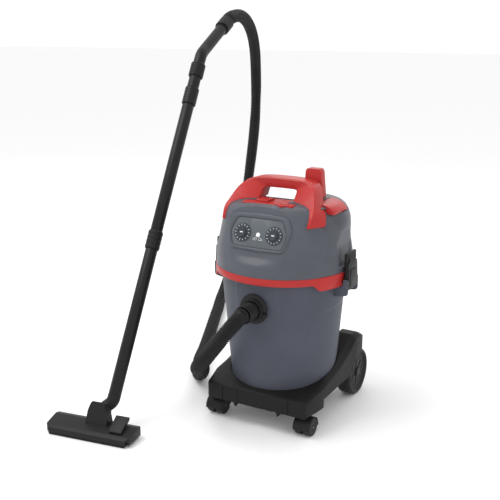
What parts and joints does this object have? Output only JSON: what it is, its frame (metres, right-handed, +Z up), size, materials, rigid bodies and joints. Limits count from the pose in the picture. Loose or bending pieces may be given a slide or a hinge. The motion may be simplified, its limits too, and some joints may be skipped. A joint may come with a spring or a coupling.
{
  "type": "shop vacuum",
  "caption": "Wheeled wet and dry vacuum cleaner: grey tub on a dolly, lift-off motor head with red carry handle and dials, long hose, bent hand tube, wand and floor nozzle.",
  "frame": {"origin": "middle of the object (hose left out) on the floor it stands on", "axes": "+Z up, the control panel and the hose inlet face -Y, the wand stands on the -X side"},
  "size_m": [0.896, 1.535, 1.1183],
  "materials": {
    "tub_grey": "moulded grey plastic with a fine texture",
    "head_grey": "moulded grey plastic with a fine texture",
    "signal_red": "moulded red plastic, satin",
    "black_plastic": "moulded black plastic, satin",
    "black_rubber": "matt black rubber",
    "hose_black": "finely ribbed black hose",
    "panel_grey": "grey-green printed plate, satin",
    "white_lens": "white gloss plastic",
    "steel": "plain steel",
    "motor_metal": "cast metal",
    "circuit_board": "green board",
    "filter_paper": "pleated filter paper",
    "bristle": "dense black bristles"
  },
  "bodies": {
    "machine": {"dolly_frame": "black_plastic", "rear_axle": "steel", "tub": "tub_grey", "inlet_flange": "black_plastic", "inlet_seal": "black_rubber", "inlet_deflector": "black_plastic", "hose_connector": "black_plastic", "hose": "hose_black", "latch_pin_left": "steel", "latch_pin_right": "steel", "hand_tube": "black_plastic", "hand_cuff": "black_plastic", "upper_tube": "black_plastic", "lower_tube": "black_plastic", "tube_collar": "black_plastic", "nozzle_neck": "black_plastic"},
    "motor_head": {"head_rim": "signal_red", "motor_plate": "black_plastic", "head_cover": "head_grey", "handle": "signal_red", "hose_rest": "signal_red", "top_plate": "signal_red", "shoulder_lid": "signal_red", "panel_bezel": "head_grey", "panel_plate": "panel_grey", "indicator_lens": "white_lens", "exhaust_grille": "black_plastic", "cable_gland": "black_plastic", "motor": "motor_metal", "motor_mount": "black_rubber", "filter_cartridge": "filter_paper", "filter_cap": "black_plastic", "float_cage": "black_plastic", "head_seal": "black_rubber", "circuit_board": "circuit_board"},
    "fan": {"motor_fan": "motor_metal"},
    "float": {"float_ball": "white_lens"},
    "deck_catch": {"filter_catch": "signal_red"},
    "left_dial": {"dial_left": "black_plastic"},
    "right_dial": {"dial_right": "black_plastic"},
    "left_latch": {"latch_left": "black_plastic"},
    "right_latch": {"latch_right": "black_plastic"},
    "inlet_catch": {"flange_catch": "black_plastic"},
    "left_rear_wheel": {"rear_wheel_left": "black_rubber", "wheel_cap_left": "black_plastic"},
    "right_rear_wheel": {"rear_wheel_right": "black_rubber", "wheel_cap_right": "black_plastic"},
    "left_caster": {"caster_fork_left": "black_plastic"},
    "right_caster": {"caster_fork_right": "black_plastic"},
    "left_caster_wheels": {"caster_axle_left": "steel", "caster_wheel_left_outer": "black_rubber", "caster_wheel_left_inner": "black_rubber"},
    "right_caster_wheels": {"caster_axle_right": "steel", "caster_wheel_right_outer": "black_rubber", "caster_wheel_right_inner": "black_rubber"},
    "air_control": {"air_ring": "black_plastic"},
    "floor_nozzle": {"nozzle_body": "black_plastic", "nozzle_sole": "black_plastic"},
    "pedal": {"nozzle_pedal": "black_plastic"},
    "brush": {"brush_strip": "bristle"}
  },
  "joints": [
    {"name": "rear_wheel_left_spin", "type": "hinge", "parent": "machine", "child": "left_rear_wheel", "pos_m": [0.0023, 0.2262, 0.0688], "axis": [1, 0, 0], "continuous": true},
    {"name": "rear_wheel_right_spin", "type": "hinge", "parent": "machine", "child": "right_rear_wheel", "pos_m": [0.2823, 0.2262, 0.0688], "axis": [1, 0, 0], "continuous": true},
    {"name": "caster_left_swivel", "type": "hinge", "parent": "machine", "child": "left_caster", "pos_m": [0.0055, -0.0995, 0.055], "axis": [0, 0, 1], "continuous": true},
    {"name": "caster_left_roll", "type": "hinge", "parent": "left_caster", "child": "left_caster_wheels", "pos_m": [0.0055, -0.0875, 0.025], "axis": [1, 0, 0], "continuous": true},
    {"name": "caster_right_swivel", "type": "hinge", "parent": "machine", "child": "right_caster", "pos_m": [0.2791, -0.0995, 0.055], "axis": [0, 0, 1], "continuous": true},
    {"name": "caster_right_roll", "type": "hinge", "parent": "right_caster", "child": "right_caster_wheels", "pos_m": [0.2791, -0.0875, 0.025], "axis": [1, 0, 0], "continuous": true},
    {"name": "head_lift", "type": "slide", "parent": "machine", "child": "motor_head", "axis": [0, 0, 1], "range_m": [0, 0.3]},
    {"name": "fan_spin", "type": "hinge", "parent": "motor_head", "child": "fan", "pos_m": [0.1423, 0.0472, 0.457], "axis": [0, 0, 1], "continuous": true},
    {"name": "float_rise", "type": "slide", "parent": "motor_head", "child": "float", "axis": [0, 0, 1], "range_m": [0, 0.02]},
    {"name": "deck_catch_slide", "type": "slide", "parent": "motor_head", "child": "deck_catch", "axis": [0, 1, 0], "range_m": [0, 0.008]},
    {"name": "latch_left_open", "type": "hinge", "parent": "machine", "child": "left_latch", "pos_m": [-0.0562, 0.0472, 0.392], "axis": [0, -1, 0], "range_deg": [0, 70]},
    {"name": "dial_left_turn", "type": "hinge", "parent": "motor_head", "child": "left_dial", "pos_m": [0.0959, -0.10947, 0.54588], "axis": [0, -0.9489, 0.3154], "range_deg": [-135, 135]},
    {"name": "latch_right_open", "type": "hinge", "parent": "machine", "child": "right_latch", "pos_m": [0.3408, 0.0472, 0.392], "axis": [0, 1, 0], "range_deg": [0, 70]},
    {"name": "dial_right_turn", "type": "hinge", "parent": "motor_head", "child": "right_dial", "pos_m": [0.1887, -0.10947, 0.54588], "axis": [0, -0.9489, 0.3154], "range_deg": [-135, 135]},
    {"name": "inlet_catch_press", "type": "slide", "parent": "machine", "child": "inlet_catch", "axis": [0, 1, 0], "range_m": [0, 0.0018], "stiffness_N_per_m": 300, "springref_m": -0.002},
    {"name": "air_ring_turn", "type": "hinge", "parent": "machine", "child": "air_control", "pos_m": [-0.23546, 0.20004, 0.93554], "axis": [-0.0432, 0.515, 0.8561], "range_deg": [0, 90]},
    {"name": "nozzle_tilt", "type": "hinge", "parent": "machine", "child": "floor_nozzle", "pos_m": [-0.20977, -0.34734, 0.056], "axis": [0.9893, 0.1461, 0], "range_deg": [-10, 14]},
    {"name": "pedal_rock", "type": "hinge", "parent": "floor_nozzle", "child": "pedal", "pos_m": [-0.13487, -0.38227, 0.0335], "axis": [-0.9893, -0.1461, 0], "range_deg": [0, 8]},
    {"name": "brush_raise", "type": "slide", "parent": "floor_nozzle", "child": "brush", "axis": [0, 0, 1], "range_m": [0, 0.005]}
  ],
  "couplings": [
    {"joint": "brush_raise", "follows": "pedal_rock", "m_per_rad": 0.03438}
  ]
}
